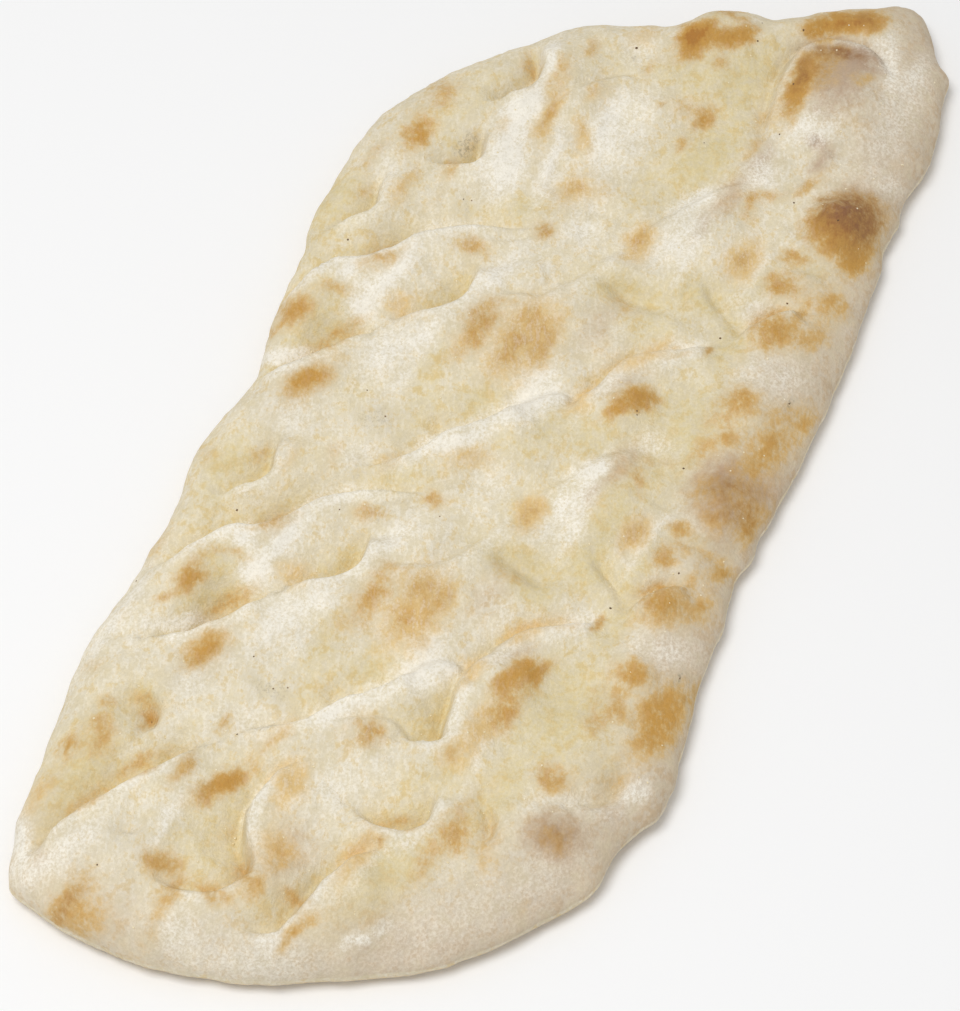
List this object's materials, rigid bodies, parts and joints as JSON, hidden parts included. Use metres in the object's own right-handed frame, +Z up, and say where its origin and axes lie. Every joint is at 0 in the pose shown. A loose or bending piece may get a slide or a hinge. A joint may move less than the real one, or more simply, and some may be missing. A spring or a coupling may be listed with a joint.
{
  "type": "flatbread base",
  "caption": "Long oval flatbread base, finger-dimpled, puffed at the rim and baked pale with brown blisters, with a flat underside to rest on.",
  "frame": {"origin": "on the resting plane, under the middle of the loaf's box", "axes": "+X along the length towards the pointed end, +Y towards the side with the deep dimples at its edge, +Z up from the flat underside"},
  "size_m": [0.3688, 0.1682, 0.0193],
  "materials": {
    "crust": "dry floured crust, pale ivory and straw yellow, with orange-brown spots and a few dark brown blisters"
  },
  "bodies": {
    "root": {"pizza_base": "crust"}
  },
  "joints": []
}
